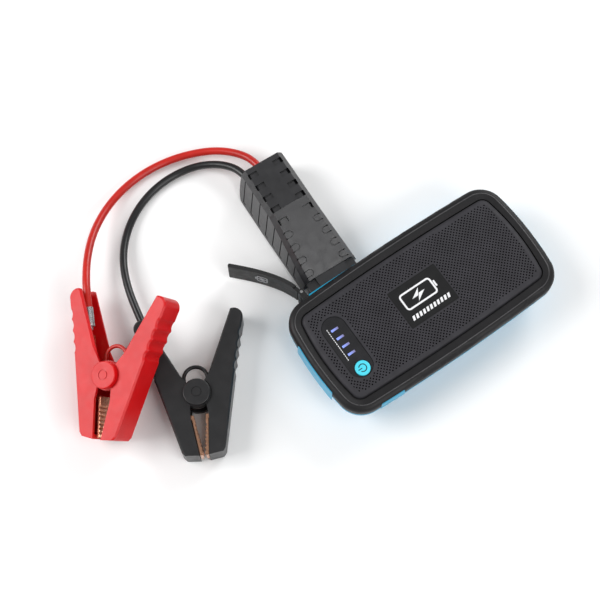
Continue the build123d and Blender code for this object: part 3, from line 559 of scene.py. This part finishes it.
def hole_ring(centre, radius, z):
    """Outline of one hole at some height."""
    x, y = centre
    angles = [2 * pi * (i + 0.5) / HOLE_SIDES for i in range(HOLE_SIDES)]
    return [(x + radius * cos(angle), y + radius * sin(angle), z) for angle in angles]


def add_skin(points, faces, loops, close_last=False):
    """Append a skin over loops to a mesh in the making."""
    start = len(points)
    more_points, more_faces = skinned(loops, close_last=close_last)
    points += more_points
    faces += [tuple(start + i for i in face) for face in more_faces]


def level_top(loops):
    """Points and faces of the pad's top: filled inside the first loop, open inside each of the others."""
    flat, edges, owner = [], [], []
    for index, loop in enumerate(loops):
        start, count = len(flat), len(loop)
        flat += [Vector((x, y)) for x, y, *_ in loop]
        owner += [index] * count
        edges += [(start + i, start + (i + 1) % count) for i in range(count)]
    places, _, triangles, sources, _, _ = delaunay_2d_cdt(flat, edges, [], TRIANGLES_INSIDE, MERGE_DISTANCE)
    owners = [owner[source[0]] if source else -1 for source in sources]
    faces = []
    for triangle in triangles:
        first, second, third = (owners[i] for i in triangle)
        # three points of one inner loop span its opening, which stays open
        if first == 0 or first != second or second != third:
            faces.append(tuple(triangle))
    return [(place.x, place.y, PAD_TOP_Z) for place in places], faces


def make_pad(centres):
    """Rubber pad: a soft shoulder, a level top with real round holes, and openings for panel and label."""
    shoulder = [bowed_outline(PAD_PLAN, PAD_GAP + inset, z) for inset, z in PAD_PROFILE]
    panel = rounded_box_outline((PANEL_X, 0.0), PANEL_SIZE, PANEL_SIZE[0] / 2 - ROUND_END_FLAT, steps=12)
    label = rounded_box_outline((0.0, 0.0), LABEL_SIZE, LABEL_CORNER)
    holes = [hole_ring(centre, HOLE_RADIUS, PAD_TOP_Z) for centre in centres]
    points, faces = level_top([shoulder[-1], panel, label] + holes)
    add_skin(points, faces, shoulder)
    for opening, depth in ((panel, PAD_TOP_Z - PAD_FLOOR_Z), (label, LABEL_RECESS)):
        add_skin(points, faces, [[(x, y, z) for x, y in opening] for z in (PAD_TOP_Z, PAD_TOP_Z - depth)])
    pad = add_object("perforated_skin", mesh_from("perforated_skin", points, faces), "pack", "pad_rubber")
    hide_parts("perforated_pad")


def make_wells(centres):
    """Wells under the holes, a little narrower at the bottom, near black as painted shade inside the holes.
    """
    points, faces = [], []
    for centre in centres:
        mouth = hole_ring(centre, HOLE_RADIUS, PAD_TOP_Z)
        bottom = hole_ring(centre, HOLE_RADIUS * HOLE_TAPER, PAD_TOP_Z - HOLE_DEPTH)
        add_skin(points, faces, [mouth, bottom], close_last=True)
    wells = mesh_from("perforation_wells", points, faces, smooth=False)
    add_object("perforation_wells", wells, "pack", "pad_rubber", "hole_painted_shade")


def make_rim_bead():
    """Fine raised line along the rim's crest, in a plastic lighter than the rim's that paints a highlight
    along it.
    """
    loops = []
    for i in range(RIM_BEAD_SIDES + 1):
        angle = 2 * pi * i / RIM_BEAD_SIDES
        inset = RIM_BEAD_INSET - RIM_BEAD_RADIUS * cos(angle)
        loops.append(bowed_outline(PACK_PLAN, inset, RIM_BEAD_Z + RIM_BEAD_RADIUS * sin(angle)))
    points, faces = skinned(loops)
    add_object("rim_bead", mesh_from("rim_bead", points, faces), "pack", "rim_plastic", "bead_painted_highlight")


def battery_outlines(centre, size, width):
    """Generic battery symbol: a frame, a terminal and a bolt of two triangles."""
    x, y = centre
    half_x, half_y = size[0] / 2, size[1] / 2
    marks = frame_outlines(centre, size, half_y * FRAME_CORNER, width)
    terminal_x, reach = x + half_x + width * TERMINAL_GAP, half_y * TERMINAL_REACH
    marks.append(bar_outline((terminal_x, y - reach), (terminal_x, y + reach), width))
    for side in (-1, 1):
        marks.append([(x + side * u * half_y, y + side * v * half_y) for u, v in HALF_BOLT])
    return marks


def make_label_print():
    """Battery symbol over a row of leaning stripes."""
    stripes = []
    foot, head = STRIPE_YS
    for i in range(STRIPE_COUNT):
        x = STRIPE_START_X + i * STRIPE_PITCH
        leaning = x + STRIPE_LEAN
        stripes.append([(x, foot), (x + STRIPE_WIDTH, foot), (leaning + STRIPE_WIDTH, head), (leaning, head)])
    symbol = battery_outlines(centre=(-1.6, 2.6), size=(22.0, 10.4), width=1.15)
    printed("label_symbol", symbol + stripes, LABEL_TOP_Z, "pack", "label_film", "print_white")


def make_panel_prints():
    """Ticks beside the status bars, and a power symbol on the button."""
    ticks = []
    for y in LED_YS:
        for i in range(TICKS_PER_BAR):
            start = y + FIRST_TICK - i * TICK_PITCH
            ticks.append(bar_outline((TICKS_X, start), (TICKS_X, start - TICK_LENGTH), TICK_WIDTH))
    printed("status_ticks", ticks, TICKS_Z, "pack", "panel_gloss", "print_white")
    near, far = POWER_BAR
    power = [
        arc_outline((PANEL_X, BUTTON_Y), POWER_RADIUS, POWER_WIDTH, *POWER_ARC),
        bar_outline((PANEL_X + near, BUTTON_Y), (PANEL_X + far, BUTTON_Y), POWER_WIDTH),
    ]
    printed("power_symbol", power, BUTTON_TOP_Z, "button", "button_cyan", "print_dark")


def make_cover_print():
    """Small battery symbol on the port cover's outer face."""
    start, end = (Vector(place) for place in COVER_LINE)
    along = (end - start).normalized()
    out = Vector((-along.y, along.x, 0.0))
    centre = (start + end) / 2 + out * COVER_HALF_THICKNESS
    centre.z = COVER_MARK_Z
    points, faces = [], []
    for outline in battery_outlines(centre=(0.0, 0.0), size=(6.4, 8.0), width=0.8):
        first, count = len(points), len(outline)
        for lift in COVER_MARK_LIFTS:
            points += [tuple(centre + along * u + Vector((0, 0, v)) + out * lift) for u, v in outline]
        faces.append(tuple(range(first + count, first + 2 * count)))
        for i in range(count):
            j = (i + 1) % count
            faces.append((first + i, first + j, first + count + j, first + count + i))
    mesh = mesh_from("cover_symbol", points, faces, smooth=False)
    add_object("cover_symbol", mesh, "cover", "rubber_black", "print_grey")


# ------------------------------------------------------------------ cables

def make_cable(name, route):
    """One silicone cable on a smooth curve from the module into its clamp's handle."""
    curve = bpy.data.curves.new(f"{name}_cable_line", "CURVE")
    curve.dimensions = "3D"
    curve.resolution_u = 12
    curve.bevel_depth = CABLE_DIAMETER / 2 * MM
    curve.bevel_resolution = 6
    curve.use_fill_caps = True
    line = curve.splines.new("NURBS")
    line.points.add(len(route) - 1)
    for point, place in zip(line.points, route):
        point.co = (*(Vector(place) * MM), 1.0)
    line.order_u = 3
    line.use_endpoint_u = True
    return add_object(f"{name}_silicone_cable", curve, "lead", f"cable_{name}")


# ------------------------------------------------------------------ stage

def make_camera():
    """Camera on its sight line to the aim."""
    azimuth, elevation = radians(CAMERA_AZIMUTH), radians(CAMERA_ELEVATION)
    back = Vector((sin(azimuth) * cos(elevation), -cos(azimuth) * cos(elevation), sin(elevation)))
    camera = bpy.data.objects.new("camera", bpy.data.cameras.new("camera"))
    bpy.context.scene.collection.objects.link(camera)
    camera.data.lens = CAMERA_LENS
    camera.data.sensor_width = 36.0
    camera.location = Vector(CAMERA_AIM) + back * CAMERA_DISTANCE
    camera.rotation_mode = "QUATERNION"
    camera.rotation_quaternion = (-back).to_track_quat("-Z", "Y")
    bpy.context.scene.camera = camera


def make_floor():
    """White paper floor, part of the stage and not of the object."""
    bpy.ops.mesh.primitive_plane_add(size=6.0, location=(0.0, 0.0, 0.0))
    floor = bpy.context.object
    floor.name = "floor"
    material, shader, tree = new_material("floor_paper", (0.95, 0.95, 0.95), roughness=0.9)
    tint(tree, shader, noise(tree, scale=3.0), (0.945, 0.945, 0.945), (0.955, 0.955, 0.955))
    floor.data.materials.append(material)


def area_light(name, place, size, power):
    """Rectangular soft box that faces the aim; lengths in metres, power in watts."""
    light = bpy.data.lights.new(name, "AREA")
    light.shape = "RECTANGLE"
    light.size, light.size_y = size
    light.energy = power
    lamp = bpy.data.objects.new(name, light)
    bpy.context.scene.collection.objects.link(lamp)
    lamp.location = place
    lamp.rotation_mode = "QUATERNION"
    lamp.rotation_quaternion = (Vector(LIGHT_AIM) - Vector(place)).to_track_quat("-Z", "Y")


def make_lights():
    """White surround and the soft boxes."""
    world = bpy.data.worlds.new("studio")
    bpy.context.scene.world = world
    world.use_nodes = True
    world.node_tree.nodes["Background"].inputs["Color"].default_value = (1.0, 1.0, 1.0, 1.0)
    world.node_tree.nodes["Background"].inputs["Strength"].default_value = WORLD_LEVEL
    for name, place, size, power in LIGHTS:
        area_light(name, place, size, power)


# ------------------------------------------------------------------ assembly

bpy.context.scene.view_settings.view_transform = "Standard"
make_camera()
make_floor()
make_lights()
dress_nodes()
finish_edges()

holes = hole_centres()
make_pad(holes)
make_wells(holes)
make_rim_bead()
make_label_print()
make_panel_prints()
make_cover_print()
for name, (route, length) in CABLES.items():
    cable = make_cable(name, route)
    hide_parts(f"{name}_cable")
